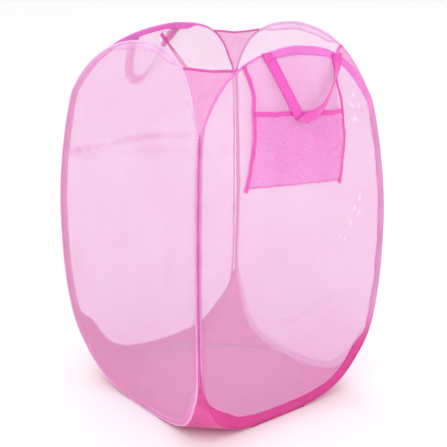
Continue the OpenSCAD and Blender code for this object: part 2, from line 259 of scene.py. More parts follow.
def arc_length(points, closed=False):
    """Distance travelled along a line at each of its points, starting at 0."""
    nxt = np.roll(points, -1, 0) if closed else points[1:]
    steps = np.linalg.norm(nxt - points[:len(nxt)], axis=1)
    return np.concatenate([[0], np.cumsum(steps)])


def swept(name, centre, side, normal, sections, closed=False):
    """Sweep: sections is (rings, points, 2), each point so far along side and along normal, in metres."""
    rings, sides = sections.shape[:2]
    verts = centre[:, None] + side[:, None] * sections[..., :1] + normal[:, None] * sections[..., 1:]
    length = arc_length(centre, closed)[:rings]
    uvs = np.stack([np.broadcast_to(length[:, None], (rings, sides)), sections[..., 0]], -1)
    return new_object(name, verts.reshape(-1, 3), tube_faces(rings, sides, closed), uvs.reshape(-1, 2))


def flat_section(width, half, sides=12):
    """Rounded flat section of a strap or tape, centred, one per ring."""
    angle = np.arange(sides) * 2 * math.pi / sides
    c, s = np.cos(angle), np.sin(angle)
    flat = np.sign(c) * np.abs(c) ** 0.35
    thick = np.sign(s) * np.abs(s) ** 0.6
    width, half = np.broadcast_arrays(np.reshape(width, (-1, 1)), np.reshape(half, (-1, 1)))
    return np.stack([flat * width / 2, thick * half], -1)


def stitches(name, lines, pitch, length, radius):
    """Thread stitches, each a small raised bar on the cloth, along lines of (points, directions, normals)."""
    ring = 6
    # A stitch's rings, as places along its length and shares of its radius
    rings = ((-0.5, 0.35), (-0.3, 1.0), (0.3, 1.0), (0.5, 0.35))
    verts, faces = [], []
    for path, direction, normal in lines:
        total = arc_length(path)
        count = max(1, int(total[-1] / pitch))
        middle = (np.arange(count) + 0.5) * total[-1] / count
        at = lambda a: np.stack([np.interp(middle, total, a[:, c]) for c in range(3)], 1)
        centre, d, n = at(path), unit(at(direction)), unit(at(normal))
        b = np.cross(d, n)
        for i in range(count):
            first = len(verts)
            for along, size in rings:
                for a in np.arange(ring) * 2 * math.pi / ring:
                    offset = (n[i] * math.cos(a) + b[i] * math.sin(a)) * radius * size
                    verts.append(centre[i] + d[i] * along * length + offset)
            faces += [tuple(first + v for v in f) for f in tube_faces(len(rings), ring, False)]
    return new_object(name, verts, faces)


# ---------------- materials

def srgb(*channels):
    """Linear colour from ordinary 0 to 255 values."""
    return tuple(((c / 255 + 0.055) / 1.055) ** 2.4 if c > 10 else c / 255 / 12.92 for c in channels) + (1.0,)


def darker(colour, share):
    return tuple(c * share for c in colour[:3]) + (1,)


WHITE = (1, 1, 1, 1)
# Point attribute that tells the net material where the cloth is creased, where to paint shade along the folds
# and where to paint highlights on puckers
FOLD_SHADE_AND_HIGHLIGHT = "crease_and_painted_light"


class Nodes:
    """Small helper that adds and joins shader nodes."""

    def __init__(self, name):
        self.material = bpy.data.materials.new(name)
        self.material.use_nodes = True
        self.tree = self.material.node_tree
        self.shader = self.tree.nodes["Principled BSDF"]

    def add(self, kind, inputs=None, **settings):
        node = self.tree.nodes.new(kind)
        for key, value in settings.items():
            setattr(node, key, value)
        self.put(node, inputs or {})
        return node

    def put(self, node, inputs):
        """Links or sets a node's inputs, from a dictionary of their names or numbers."""
        for key, value in inputs.items():
            if isinstance(value, bpy.types.NodeSocket):
                self.tree.links.new(value, node.inputs[key])
            else:
                node.inputs[key].default_value = value

    def look(self, inputs):
        self.put(self.shader, inputs)

    def math(self, operation, a, b=0.0, clamp=False):
        return self.add("ShaderNodeMath", {0: a, 1: b}, operation=operation, use_clamp=clamp).outputs[0]

    def mix(self, factor, a, b, blend="MIX"):
        """Mixed colour: a colour mix has its factor at input 0, its colours at 6 and 7, its result at 2."""
        node = self.add("ShaderNodeMix", {0: factor, 6: a, 7: b}, data_type="RGBA", blend_type=blend)
        return node.outputs[2]

    def uv(self, turn=0.0):
        coords = self.add("ShaderNodeTexCoord")
        mapping = self.add("ShaderNodeMapping", {"Vector": coords.outputs["UV"], "Rotation": (0, 0, turn)})
        return mapping.outputs[0]

    def place(self, scale=(1, 1, 1)):
        coords = self.add("ShaderNodeTexCoord")
        mapping = self.add("ShaderNodeMapping", {"Vector": coords.outputs["Object"], "Scale": scale})
        return mapping.outputs[0]

    def wave(self, vector, scale, direction, distortion, detail=2.0, detail_scale=1.0):
        return self.add("ShaderNodeTexWave", {"Vector": vector, "Scale": scale, "Distortion": distortion,
                                              "Detail": detail, "Detail Scale": detail_scale},
                        bands_direction=direction).outputs[1]

    def noise(self, vector, scale, detail=2.0, roughness=0.5):
        return self.add("ShaderNodeTexNoise", {"Vector": vector, "Scale": scale, "Detail": detail,
                                               "Roughness": roughness}).outputs[0]

    def spread(self, value, low, high, to_low=0.0, to_high=1.0):
        return self.add("ShaderNodeMapRange", {"Value": value, "From Min": low, "From Max": high,
                                               "To Min": to_low, "To Max": to_high}).outputs[0]

    def bump(self, height, strength, distance):
        node = self.add("ShaderNodeBump", {"Height": height, "Strength": strength, "Distance": distance})
        self.look({"Normal": node.outputs[0]})


# Height in metres where every list of colours by height ends
COLOUR_TOP = 0.6


def height_colours(n, stops):
    """Colour that changes with height on the bag: stops are (z in metres, colour)."""
    z = n.add("ShaderNodeSeparateXYZ", {"Vector": n.place()}).outputs[2]
    node = n.add("ShaderNodeValToRGB", {"Fac": n.math("DIVIDE", z, COLOUR_TOP)})
    marks = node.color_ramp.elements
    for mark, (where, colour) in zip(marks[:], (stops[0], stops[-1])):
        mark.position, mark.color = where / COLOUR_TOP, colour
    for where, colour in stops[1:-1]:
        marks.new(where / COLOUR_TOP).color = colour
    return node.outputs[0]


def tape_material(name, stops, pitch=1.1 * MM, roughness=0.62, glow=0.3, cover=None):
    """Woven binding tape: ribs across, a lighter thread grain and slow colour drift."""
    n = Nodes(name)
    base = height_colours(n, stops)
    uv = n.uv()
    weft = n.wave(uv, 1 / pitch / 3.2, "X", 0.6, detail=1.0)
    warp = n.wave(uv, 1 / pitch / 4.0, "Y", 0.4, detail=1.0)
    weave = n.math("MULTIPLY", weft, warp)
    drift = n.noise(n.place(), 28.0, 3.0)
    fibre = n.noise(n.place(), 900.0, 2.0)
    lit = (1.05, 1.06, 1.05, 1)
    shade = n.mix(n.spread(drift, 0.3, 0.7), (0.90, 0.88, 0.90, 1), lit)
    thread = n.mix(n.math("MULTIPLY", weave, n.spread(fibre, 0.2, 0.8, 0.5, 1.0)), (0.93, 0.9, 0.93, 1), lit)
    n.look({"Base Color": n.mix(1.0, n.mix(1.0, base, shade, "MULTIPLY"), thread, "MULTIPLY"),
            "Roughness": n.spread(weave, 0, 1, roughness + 0.1, roughness - 0.08),
            "Sheen Weight": 0.25, "Sheen Roughness": 0.4, "Specular IOR Level": 0.3})
    n.bump(n.math("ADD", weave, n.math("MULTIPLY", fibre, 0.4)), 0.35, 0.15 * MM)
    if cover is not None:
        # only the flange is sheer, which starts just inside the bead round the wire
        inwards = n.add("ShaderNodeSeparateXYZ", {"Vector": uv}).outputs[1]
        cover = n.spread(inwards, 1.4 * MM, 2.6 * MM, 1.0, cover)
    let_light_through(n, glow, cover)
    return n.material


def let_light_through(n, share, cover=None):
    """Cloth that glows where it is lit from behind; cover is how much of it hides what lies behind."""
    glow = n.add("ShaderNodeBsdfTranslucent")
    n.put(glow, {"Color": n.shader.inputs["Base Color"].links[0].from_socket})
    cloth = n.add("ShaderNodeMixShader", {0: share, 1: n.shader.outputs[0], 2: glow.outputs[0]})
    if cover is not None:
        clear = n.add("ShaderNodeBsdfTransparent")
        cloth = n.add("ShaderNodeMixShader", {0: cover, 1: clear.outputs[0], 2: cloth.outputs[0]})
    n.put(n.tree.nodes["Material Output"], {"Surface": cloth.outputs[0]})


def net_material(name, colour, deep, cover, hole, pitch=1.7 * MM, turn=math.pi / 4, moire=0.0):
    """Knitted mesh cloth: a net of threads around small holes, so it hides cover of what is behind it."""
    n = Nodes(name)
    where = n.uv(turn=turn)
    cells = n.add("ShaderNodeTexVoronoi", {"Vector": where, "Scale": 1 / pitch, "Randomness": 0.0},
                  voronoi_dimensions="2D", feature="DISTANCE_TO_EDGE").outputs["Distance"]
    thread = n.spread(cells, 0.08, 0.36, 1.0, 0.0)
    drift = n.noise(n.place(), 7.0, 3.0)
    streak = n.noise(n.place((60.0, 60.0, 6.0)), 1.0, 2.0)
    tone = n.math("ADD", n.math("MULTIPLY", drift, 0.7), n.math("MULTIPLY", streak, 0.3))
    crease_and_painted_light = n.add("ShaderNodeAttribute", attribute_name=FOLD_SHADE_AND_HIGHLIGHT).outputs["Fac"]
    cloth = n.mix(n.spread(tone, 0.35, 0.65), colour, deep)
    # painted shade: the colour darkens along the fold lines, towards the deep colour squared
    cloth = n.mix(n.math("MULTIPLY", crease_and_painted_light, 0.5, clamp=True), cloth, tuple(c * c for c in deep[:3]) + (1,))
    # painted highlight: the colour turns white on the pucker strokes
    painted_highlight = n.math("MULTIPLY", crease_and_painted_light, -1.0, clamp=True)
    n.look({"Base Color": n.mix(painted_highlight, cloth, WHITE), "Roughness": n.spread(thread, 0, 1, 0.75, 0.5),
            "Sheen Weight": 0.15, "Specular IOR Level": 0.2})
    n.bump(thread, 0.2, 0.12 * MM)
    # the cloth is closed, so light crosses it twice: each face takes its share of the cover
    one_side = 1 - math.sqrt(1 - cover)
    threads = n.math("ADD", n.math("MULTIPLY", thread, hole), one_side - hole * 0.55)
    if moire:
        bands = n.wave(n.uv(), 62.0, "DIAGONAL", 5.0, detail=1.0, detail_scale=1.2)
        threads = n.math("ADD", threads, n.spread(bands, 0, 1, -moire, moire))
    threads = n.math("ADD", threads, n.math("MULTIPLY", n.math("ABSOLUTE", crease_and_painted_light), 0.16))
    let_light_through(n, 0.45, n.math("ADD", threads, n.spread(tone, 0.3, 0.7, -0.03, 0.03), clamp=True))
    return n.material


def nylon_material(name, colour, deep):
    """Plain woven nylon: fine taffeta grain, soft creases with painted shade in their hollows and a slight
    satin gloss.
    """
    n = Nodes(name)
    uv = n.uv()
    grain = n.math("MULTIPLY", n.wave(uv, 260.0, "X", 0.5), n.wave(uv, 260.0, "Y", 0.5))
    crease_and_painted_light = n.noise(n.place(), 22.0, 4.0, 0.6)
    # painted shade: the colour turns to the deep colour where the crease bump sinks
    tone = n.spread(n.math("ADD", crease_and_painted_light, n.math("MULTIPLY", grain, 0.12)), 0.35, 0.75)
    n.look({"Base Color": n.mix(tone, deep, colour), "Roughness": n.spread(crease_and_painted_light, 0.3, 0.7, 0.5, 0.38),
            "Sheen Weight": 0.2})
    n.bump(n.math("ADD", n.math("MULTIPLY", grain, 0.25), crease_and_painted_light), 0.3, 0.8 * MM)
    let_light_through(n, 0.25)
    return n.material


def webbing_material(name, colour, deep):
    """Flat strap webbing: herringbone ribs along the strap with darker selvedges."""
    n = Nodes(name)
    uv = n.uv()
    split = n.add("ShaderNodeSeparateXYZ", {"Vector": uv})
    edge = n.math("ABSOLUTE", split.outputs[1])
    slant = n.math("ADD", split.outputs[0], n.math("MULTIPLY", edge, 1.2))
    ribs = n.math("SINE", n.math("MULTIPLY", slant, 2 * math.pi / (1.6 * MM)))
    rows = n.math("SINE", n.math("MULTIPLY", split.outputs[1], 2 * math.pi / (2.1 * MM)))
    weave = n.math("ADD", n.math("MULTIPLY", ribs, 0.6), n.math("MULTIPLY", rows, 0.4))
    lint = n.noise(n.place(), 500.0, 3.0)
    drift = n.noise(n.place(), 35.0, 2.0)
    tone = n.math("ADD", n.spread(weave, -1, 1, 0.0, 0.55), n.math("MULTIPLY", drift, 0.45))
    cloth = n.mix(tone, deep, colour)
    selvedge = n.spread(edge, 6.6 * MM, 8.2 * MM)
    n.look({"Base Color": n.mix(selvedge, cloth, deep), "Roughness": n.spread(lint, 0.3, 0.7, 0.5, 0.7),
            "Sheen Weight": 0.3})
    n.bump(n.math("ADD", weave, n.math("MULTIPLY", lint, 0.5)), 0.4, 0.2 * MM)
    return n.material


def thread_material(name, colour):
    """Sewing thread: two-ply twist with a little shine."""
    n = Nodes(name)
    twist = n.wave(n.place(), 700.0, "DIAGONAL", 1.0)
    n.look({"Base Color": n.mix(twist, darker(colour, 0.8), colour), "Roughness": 0.4})
    n.bump(twist, 0.3, 0.1 * MM)
    return n.material


def steel_material(name, colour, rough):
    """Drawn spring steel: fine lengthwise scratches, patches of dulling and a cleaner sheen between."""
    n = Nodes(name)
    scratch = n.noise(n.place((40, 40, 900)), 8.0, 4.0)
    patch = n.noise(n.place(), 60.0, 3.0)
    n.look({"Base Color": n.mix(n.spread(patch, 0.35, 0.7), colour, darker(colour, 0.72)),
            "Roughness": n.spread(scratch, 0.3, 0.7, rough - 0.08, rough + 0.12), "Metallic": 1.0})
    n.bump(scratch, 0.2, 0.05 * MM)
    return n.material


HOT = srgb(255, 136, 228)
HOT_DEEP = srgb(255, 112, 212)
MAUVE = srgb(230, 156, 206)
PALE_SIDE = srgb(244, 172, 218)
CRIMSON = srgb(200, 34, 112)
PALE = srgb(255, 207, 247)
PALE_LOW = srgb(255, 182, 232)
MAGENTA = srgb(226, 62, 152)
SEAM = srgb(255, 132, 214)
WALL = srgb(242, 208, 234)
WALL_DEEP = srgb(240, 197, 229)

HOT_BY_HEIGHT = [(0.0, CRIMSON), (0.008, MAGENTA), (0.085, MAGENTA), (0.15, MAUVE), (0.44, MAUVE),
                 (0.52, HOT), (COLOUR_TOP, HOT)]
PALE_BY_HEIGHT = [(0.02, PALE_LOW), (0.10, PALE_LOW), (0.18, PALE_SIDE), (0.42, PALE_SIDE), (0.52, PALE),
                  (COLOUR_TOP, PALE)]
ELASTIC_BY_HEIGHT = [(0.0, srgb(252, 214, 236)), (0.52, srgb(250, 190, 226)), (0.55, srgb(240, 90, 180)),
                     (COLOUR_TOP, srgb(240, 90, 180))]

hot_tape = tape_material("hot_tape", HOT_BY_HEIGHT, glow=0.12)
pale_tape = tape_material("pale_tape", PALE_BY_HEIGHT, glow=0.12, cover=0.5)
trim_tape = tape_material("trim_tape", [(0.0, HOT_DEEP), (COLOUR_TOP, HOT_DEEP)])
seam_tape = tape_material("seam_tape", [(0.0, SEAM), (COLOUR_TOP, SEAM)], glow=0.4)
wall_net = net_material("wall_net", WALL, WALL_DEEP, cover=0.56, hole=0.16)
gusset_net = net_material("gusset_net", srgb(246, 174, 224), srgb(240, 160, 214), cover=0.72, hole=0.2)
pocket_net = net_material("pocket_net", srgb(250, 176, 236), srgb(246, 158, 226), cover=0.6, hole=0.3,
                          pitch=2.8 * MM, turn=0.5, moire=0.12)
pocket_backing = net_material("pocket_backing", srgb(248, 192, 238), srgb(245, 182, 232), cover=0.42,
                              hole=0.2)
nylon = nylon_material("base_nylon", srgb(242, 88, 180), srgb(222, 58, 148))
webbing = webbing_material("webbing", srgb(240, 90, 196), srgb(222, 56, 170))
pink_thread = thread_material("pink_thread", srgb(228, 74, 170))
pale_thread = thread_material("pale_thread", srgb(236, 146, 208))
elastic = tape_material("elastic", ELASTIC_BY_HEIGHT, pitch=0.8 * MM)
spring_steel = steel_material("spring_steel", (0.62, 0.62, 0.64, 1), 0.3)
crimp_steel = steel_material("crimp_steel", (0.42, 0.42, 0.44, 1), 0.45)


def dress(obj, material, body, slot, *replaced):
    """Gives a piece its material, the body that it rides on and what it replaces; its record slot is not
    used.
    """
    obj.data.materials.clear()
    obj.data.materials.append(material)
    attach(obj, body)
    if replaced:
        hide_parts(*replaced)
    return obj


def sew(name, lines, pitch, length, body="bag", slot="hot_pink_tape", thread=pink_thread, radius=0.22):
    """Stitches on the body of what they sew, with a record slot that is not used; pitch, length and radius
    are in millimetres.
    """
    dress(stitches(name, lines, pitch * MM, length * MM, radius * MM), thread, body, slot)


# ---------------- hoops: tape casings round the wires

CASING_RINGS = 360
TAPE_HALF = 0.85
# Radius of the bead round the wire, and how far round it goes either way, in degrees
WIRE_BULGE = 1.5
BEAD_TURN = 132
# A casing starts to look broad at this width, and does so fully this much later
BROAD_FROM, BROAD_OVER = 6.0, 5.0


def hoop_frame(k, where):
    """Centre, inward and outward directions of the hoop at fractional rows of the loop."""
    uz = smooth_rows(LOOP, where, closed=True)
    centre = wall_point(k, uz[:, 0], uz[:, 1])
    step = 0.1
    ahead = smooth_rows(LOOP, where + step, closed=True)
    behind = smooth_rows(LOOP, where - step, closed=True)
    tangent = unit(wall_point(k, ahead[:, 0], ahead[:, 1]) - wall_point(k, behind[:, 0], behind[:, 1]))
    facing = wall_normal(k, uz[:, 1])
    inward = unit(np.cross(facing, tangent))
    return uz, centre, tangent, inward, np.cross(tangent, inward)


def runs_of(keep):
    """Ranges of rows where keep holds, as slices, leaving out the shortest."""
    shortest = 6
    edges = np.flatnonzero(np.diff(np.concatenate([[False], keep, [False]]).astype(int)))
    return [slice(a, b) for a, b in edges.reshape(-1, 2) if b - a >= shortest]


def casing(k, tape, thread, slot):
    """Tape folded round the wire: a round bead with a flat double flange on its inner side."""
    where = np.arange(CASING_RINGS) * len(LOOP) / CASING_RINGS
    uz, centre, tangent, inward, normal = hoop_frame(k, where)
    width = band_width(k, np.sign(uz[:, 0]), uz[:, 0], uz[:, 1])
    broad = ramp((width - BROAD_FROM) / BROAD_OVER)
    s = arc_length(centre, closed=True)[:-1] / MM
    # the flange's edge wanders a little, and puckers between stitches
    wander = 0.28 * np.sin(s / 9.1 + k) + 0.16 * np.sin(s / 3.3)
    edge = width - CASING_HALF - mix(1.0, 0.3, broad) + wander
    pucker = 0.12 * np.sin(s / 2.9 + k) + 0.1 * np.sin(s / 7.3)
    flange = mix(WIRE_BULGE * 0.7, TAPE_HALF, broad)
    round_wire = np.ones_like(s) * WIRE_BULGE
    shape = [np.stack([-math.cos(a) * round_wire, math.sin(a) * round_wire], 1)
             for a in np.radians(np.linspace(-BEAD_TURN, BEAD_TURN, 9))]
    root = -WIRE_BULGE * math.cos(math.radians(BEAD_TURN))
    out_and_back = ((1, (0.3, 0.6, 0.9, 1.0)), (-1, (1.0, 0.9, 0.6, 0.3)))
    for side, shares in out_and_back:
        for t in shares:
            thick = flange * (1.0 if t < 1 else 0.45)
            shape.append(np.stack([mix(root, edge, t), side * thick + pucker * broad * t], 1))
    obj = swept(f"{PANELS[k]}_tape_casing", centre, inward, normal, np.stack(shape, 1) * MM, closed=True)
    dress(obj, tape, "bag", slot, f"{PANELS[k]}_casing")
    # stitching along the flange's inner edge where the tape is broad
    for face, label in ((1, "outer"), (-1, "inner")):
        path = centre + inward * ((edge - 2.0) * MM)[:, None]
        path = path + normal * ((face * (flange + 0.05) + pucker * 0.8) * MM)[:, None]
        lines = [(path[run], tangent[run], normal[run]) for run in runs_of(broad > 0.6)]
        sew(f"{PANELS[k]}_casing_{label}_stitching", lines, 4.2, 2.6, slot=slot, thread=thread)


casing(FRONT, hot_tape, pink_thread, "hot_pink_tape")
casing(RIGHT_SIDE, pale_tape, pale_thread, "pale_tape")
casing(BACK, hot_tape, pink_thread, "hot_pink_tape")
casing(LEFT_SIDE, pale_tape, pale_thread, "pale_tape")

# ---------------- mesh walls

NET_THICK = 0.35 * MM
# Rows and columns of each wall's net, and how far the net tucks under the casings, in millimetres
WALL_ROWS = 200
WALL_COLS = 90
TUCK_IN = 2.2


def crease_line(u, z, at_left, at_right, width):
    """Height of a folded line across a panel, 1 on the line and falling away over its width."""
    line = mix(at_left, at_right, (u + HALF) / (2 * HALF))
    return np.exp(-((z - line) / width) ** 2)


def stroke(u, z, start, end, width):
    """1 along a short line on a panel, fading away over its width."""
    start, end = np.array(start, float), np.array(end, float)
    run = end - start
    t = np.clip(((u - start[0]) * run[0] + (z - start[1]) * run[1]) / (run @ run), 0, 1)
    away = (u - start[0] - run[0] * t) ** 2 + (z - start[1] - run[1] * t) ** 2
    return np.exp(-away / width**2) * np.sin(math.pi * (0.1 + 0.8 * t))


# Fold lines left from packing, as (height at the left side, height at the right, width, strength); the
# strength sets how far the cloth stands out along the line and how much shade the net material paints there
FOLDS = {
    LEFT_SIDE: ((381, 484, 3.4, 1.3), (374, 458, 5.0, 0.45), (96, 150, 4.0, 0.3)),
    FRONT: ((446, 458, 4.0, 0.35), (150, 196, 4.0, 0.35)),
    RIGHT_SIDE: ((470, 400, 3.0, 0.7), (300, 330, 4.0, 0.4)),
    BACK: ((440, 380, 3.0, 0.7), (240, 200, 4.0, 0.4)),
}
# Painted highlights: short white strokes on the front panel where small puckers would catch the light, as
# (start, end); the cloth also sinks a little along each
PAINTED_HIGHLIGHT_STROKES = (((118, 512), (126, 500)), ((121, 494), (119, 484)), ((112, 478), (121, 470)),
          ((128, 476), (133, 466)), ((116, 455), (127, 452)), ((122, 340), (130, 331)),
          ((112, 322), (126, 312)), ((100, 306), (110, 296)), ((84, 284), (98, 276)))


def fold_marks(k, u, z):
    """How creased the cloth is: above 0 on a fold line, where the net material paints shade, and below 0 on
    the strokes where it paints highlights on puckers.
    """
    marks = 0 * u + 0 * z
    for at_left, at_right, width, strength in FOLDS[k]:
        bend = 3.0 * np.sin(u / 41 + at_left)
        fade = 0.7 + 0.3 * np.sin(u / 27 + at_right)
        marks = marks + strength * fade * crease_line(u, z + bend, at_left, at_right, width)
    if k == FRONT:
        for start, end in PAINTED_HIGHLIGHT_STROKES:
            marks = marks - 1.1 * stroke(u, z, start, end, 1.6)
    return marks


def wall_relief(k, u, z, left, right):
    """How far the cloth stands out or in from its tight surface: slack, pulls and fold lines."""
    across = (u - left) / np.maximum(right - left, 1)
    height = np.clip((z - 12) / (HOOP_HEIGHT - 24), 0, 1)
    hold = np.sin(math.pi * across) ** 0.8 * np.sin(math.pi * height) ** 0.6
    slack = 1.6 * np.sin(2.1 * math.pi * across + k) * np.sin(3.3 * math.pi * height + 1.3 * k)
    ripple = 0.5 * np.sin(u / 13 + 0.02 * z + 2 * k) * np.sin(z / 47 + k)
    pull = 0.9 * np.sin((u + 0.6 * z) / 15 + k) * np.exp(-((height - 0.86) / 0.12) ** 2)
    return (slack + ripple + pull + 1.6 * fold_marks(k, u, z)) * hold - 1.4 * hold


def inside_band(k, side, rows):
    """How far in from the wire the net starts, so that it tucks under the casing's flange."""
    p = smooth_rows(OUTLINE, rows)
    return band_width(k, side, p[:, 0], p[:, 1]) - CASING_HALF - TUCK_IN


def mesh_wall(k):
    rows = np.linspace(0.35, LAST - 0.35, WALL_ROWS)
    left_u, left_z = edge_rows(-1, rows, inside_band(k, -1, rows))
    right_u, right_z = edge_rows(1, rows, inside_band(k, 1, rows))
    t = np.linspace(0, 1, WALL_COLS)[None]
    u = mix(left_u[:, None], right_u[:, None], t)
    z = mix(left_z[:, None], right_z[:, None], t)
    out = wall_relief(k, u, z, left_u[:, None], right_u[:, None])
    obj = sheet_object(f"{PANELS[k]}_net", wall_point(k, u, z, out), np.stack([u, z], -1) * MM, NET_THICK)
    # fold lines and highlight strokes, kept on the net so that its material paints shade and highlights by
    # them
    hold = np.minimum(1, np.minimum(t, 1 - t) * 12)
    marks = (fold_marks(k, u, z) * hold).ravel()
    both_faces = np.concatenate([marks, marks])
    obj.data.attributes.new(FOLD_SHADE_AND_HIGHLIGHT, "FLOAT", "POINT").data.foreach_set("value", both_faces)
    dress(obj, wall_net, "bag", "sheer_mesh", f"{PANELS[k]}_mesh")


for panel in range(4):
    mesh_wall(panel)

# ---------------- corners: seams and gussets


def corner_point(k, z, inwards):
    """Point at corner k, in metres, so far in from the corner line along its diagonal."""
    z = np.asarray(z, float)
    reach = (HALF - tuck(z))[..., None] * (OUT[k] + OUT[next_panel(k)])
    inwards = np.broadcast_to(inwards, z.shape)[..., None]
    return (reach + UP * (z + GROUND)[..., None] - DIAGONAL[k] * inwards) * MM


# Seam allowances: half their thickness, and how far in from the corner line they start and end
SEAM_HALF = 1.4
SEAM_OUTER, SEAM_INNER = 1.9, 11.0
# How far each corner's seam allowance leans to one side
SEAM_LEANS = (4.0, 8.0, 4.0, 2.0)


def corner_seam(k):
    """Seam allowance that stands in from the corner: folded tape leaning to one side, with stitches."""
    count = 150
    z = np.linspace(SEAM_FOOT, SEAM_TOP, count)
    s = (z - SEAM_FOOT) / (SEAM_TOP - SEAM_FOOT)
    wave = 0.5 * np.sin(z / 11 + k) + 0.3 * np.sin(z / 4.7)
    outer = corner_point(k, z, SEAM_OUTER)
    inner = corner_point(k, z, SEAM_INNER + wave)
    sideways = unit(OUT[k] - OUT[next_panel(k)])
    lean = SEAM_LEANS[k] + np.sin(z / 37 + k) + 0.5 * np.sin(z / 13)
    lean = lean * np.sin(math.pi * np.clip(s, 0.02, 0.98)) ** 0.3
    centre = (outer + inner) / 2 + sideways * lean[:, None] / 2 * MM
    across = unit(inner - outer + sideways * lean[:, None] * MM)
    tangent = unit(np.gradient(centre, axis=0))
    normal = unit(np.cross(tangent, across))
    across = np.cross(normal, tangent)
    ends = 0.35 + 0.65 * ramp(np.minimum(s, 1 - s) / 0.04)
    width = np.linalg.norm(inner - outer, axis=1) * (1 + 0.06 * np.sin(z / 8.3)) * ends
    half = SEAM_HALF * MM * ends
    body = swept(f"{CORNERS[k]}_seam_allowance", centre, across, normal, flat_section(width, half))
    dress(body, seam_tape, "bag", "seam_tape", f"{CORNERS[k]}_seam")
    for sign, label in ((1, "a"), (-1, "b")):
        path = centre + across * 0.9 * MM + normal * (sign * half)[:, None]
        sew(f"{CORNERS[k]}_seam_stitching_{label}", [(path, tangent, normal * sign)], 5.2, 3.2,
            slot="seam_tape", radius=0.45)


def gusset_grid(k, first, last_row, rows, cols, sink, sag):
    """Cloth between two hoops at corner k, drawn in by sink and sagging by sag at its free edge."""
    where = np.linspace(first, last_row, rows)
    u, z = edge_rows(1, where, -WIRE_BULGE * 0.6)
    a = wall_point(k, u, z)
    b = wall_point(next_panel(k), -u, z)
    t = np.linspace(0, 1, cols)[None, :, None]
    grid = mix(a[:, None], b[:, None], t)
    bow = np.sin(math.pi * t) * (np.linspace(0, 1, rows)[:, None, None] ** 1.3)
    grid = grid - DIAGONAL[k] * sink * MM * bow
    grid = grid - UP * sag * MM * bow**2
    across = np.linalg.norm(b - a, axis=1)[:, None] * (t[..., 0] - 0.5)
    climb = arc_length((a + b) / 2)[:, None] * np.ones((1, cols))
    return grid, np.stack([across, climb], -1)


TOP_GUSSET_LAST = SEAM_TOP_ROW + 7.75
BINDING_WIDTH = 4.6


def top_gusset(k):
    """Net between two crowns, with a binding along its free edge."""
    count = 40
    grid, uv = gusset_grid(k, SEAM_TOP_ROW + 0.3, TOP_GUSSET_LAST, count, count, 5.0, 2.5)
    # soft folds fan out from the point of the corner
    t = np.linspace(0, 1, count)[None]
    rise = np.linspace(0, 1, count)[:, None]
    fold = np.sin(t * 19 + k) * 0.6 + np.sin(t * 11 + 2 * k) * 0.7
    fold = fold * np.sin(math.pi * t) * np.sin(math.pi * rise) * MM
    grid = grid + DIAGONAL[k] * fold[..., None]
    obj = sheet_object(f"{CORNERS[k]}_top_net", grid, uv, NET_THICK)
    dress(obj, gusset_net, "bag", "gusset_mesh", f"{CORNERS[k]}_top_gusset")
    # binding folded over the free edge
    s = np.linspace(0, 1, 48)
    path = np.stack([np.interp(s, t[0], grid[-1, :, c]) for c in range(3)], 1)
    tangent = unit(np.gradient(path, axis=0))
    rise = unit(np.tile((grid[-1] - grid[-3]).mean(0), (len(path), 1)))
    normal = unit(np.cross(tangent, rise))
    rise = np.cross(normal, tangent)
    s = arc_length(path) / MM
    section = flat_section(BINDING_WIDTH * MM * (1 + 0.04 * np.sin(s / 3)), TAPE_HALF * MM)
    centre = path + rise * 0.9 * MM + normal * (0.15 * MM * np.sin(s / 4))[:, None]
    tape = swept(f"{CORNERS[k]}_top_binding", centre, rise, normal, section)
    dress(tape, trim_tape, "bag", "hot_pink_tape", f"{CORNERS[k]}_top_tape")
    for sign, label in ((1, "outer"), (-1, "inner")):
        line = centre - rise * 1.2 * MM + normal * sign * TAPE_HALF * MM
        sew(f"{CORNERS[k]}_top_binding_{label}_stitching",
            [(line[1:-1], tangent[1:-1], normal[1:-1] * sign)], 3.6, 2.2)


BASE_FIRST_ROW = 2


def base_gusset(k):
    """Nylon between two feet, from the point of the corner down to the base."""
    grid, uv = gusset_grid(k, SEAM_FOOT_ROW - 0.2, BASE_FIRST_ROW - 0.6, 40, 24, -3.0, 0.0)
    grid, uv = grid[::-1], uv[::-1]
    rows, cols = grid.shape[:2]
    # soft puckers that run down from the point of the corner
    t = np.linspace(0, 1, cols)[None]
    fade = np.sin(math.pi * np.linspace(0, 1, rows))[:, None]
    ripple = 0.7 * np.sin(t * 5 * math.pi) * fade * np.sin(math.pi * t)
    grid = grid + DIAGONAL[k] * (ripple * MM)[..., None]
    obj = sheet_object(f"{CORNERS[k]}_base_corner", grid, uv, 0.6 * MM)
    dress(obj, nylon, "bag", "base_nylon", f"{CORNERS[k]}_base_gusset")


def base_cloth():
    """Flat nylon base, its edges inside the four casings and its corners cut across."""
    reach = (stand(FRONT, 0.0) - 0.4) * MM
    flat = OUTLINE[BASE_FIRST_ROW][0] * MM
    y = np.linspace(-reach, reach, 72)[:, None]
    half_row = np.minimum(reach, reach + flat - np.abs(y))
    x = half_row * np.linspace(-1, 1, 72)[None]
    y = np.broadcast_to(y, x.shape)
    from_side = np.minimum(reach - np.abs(x), reach - np.abs(y))
    from_edge = np.minimum(from_side, reach + flat - np.abs(x) - np.abs(y))
    calm = ramp(from_edge / 0.03)
    waves = 0.5 + 0.5 * np.sin(x / 0.021 + 2 * np.sin(y / 0.05)) * np.sin(y / 0.034 + 1.0)
    grid = np.stack([x, y, (0.6 + calm * waves * 1.2) * MM], -1)
    obj = sheet_object("base_cloth", grid, np.stack([x, y], -1), 0.8 * MM)
    dress(obj, nylon, "bag", "base_nylon", "base_panel")


base_cloth()
for corner in range(4):
    corner_seam(corner)
    top_gusset(corner)
    base_gusset(corner)

# ---------------- handles

STRAP_WIDTH = 17.0
STRAP_HALF = 0.7


def curve_points(points, count):
    """Smooth open curve through a few points."""
    return smooth_rows(np.array(points, float), np.linspace(0, len(points) - 1, count))


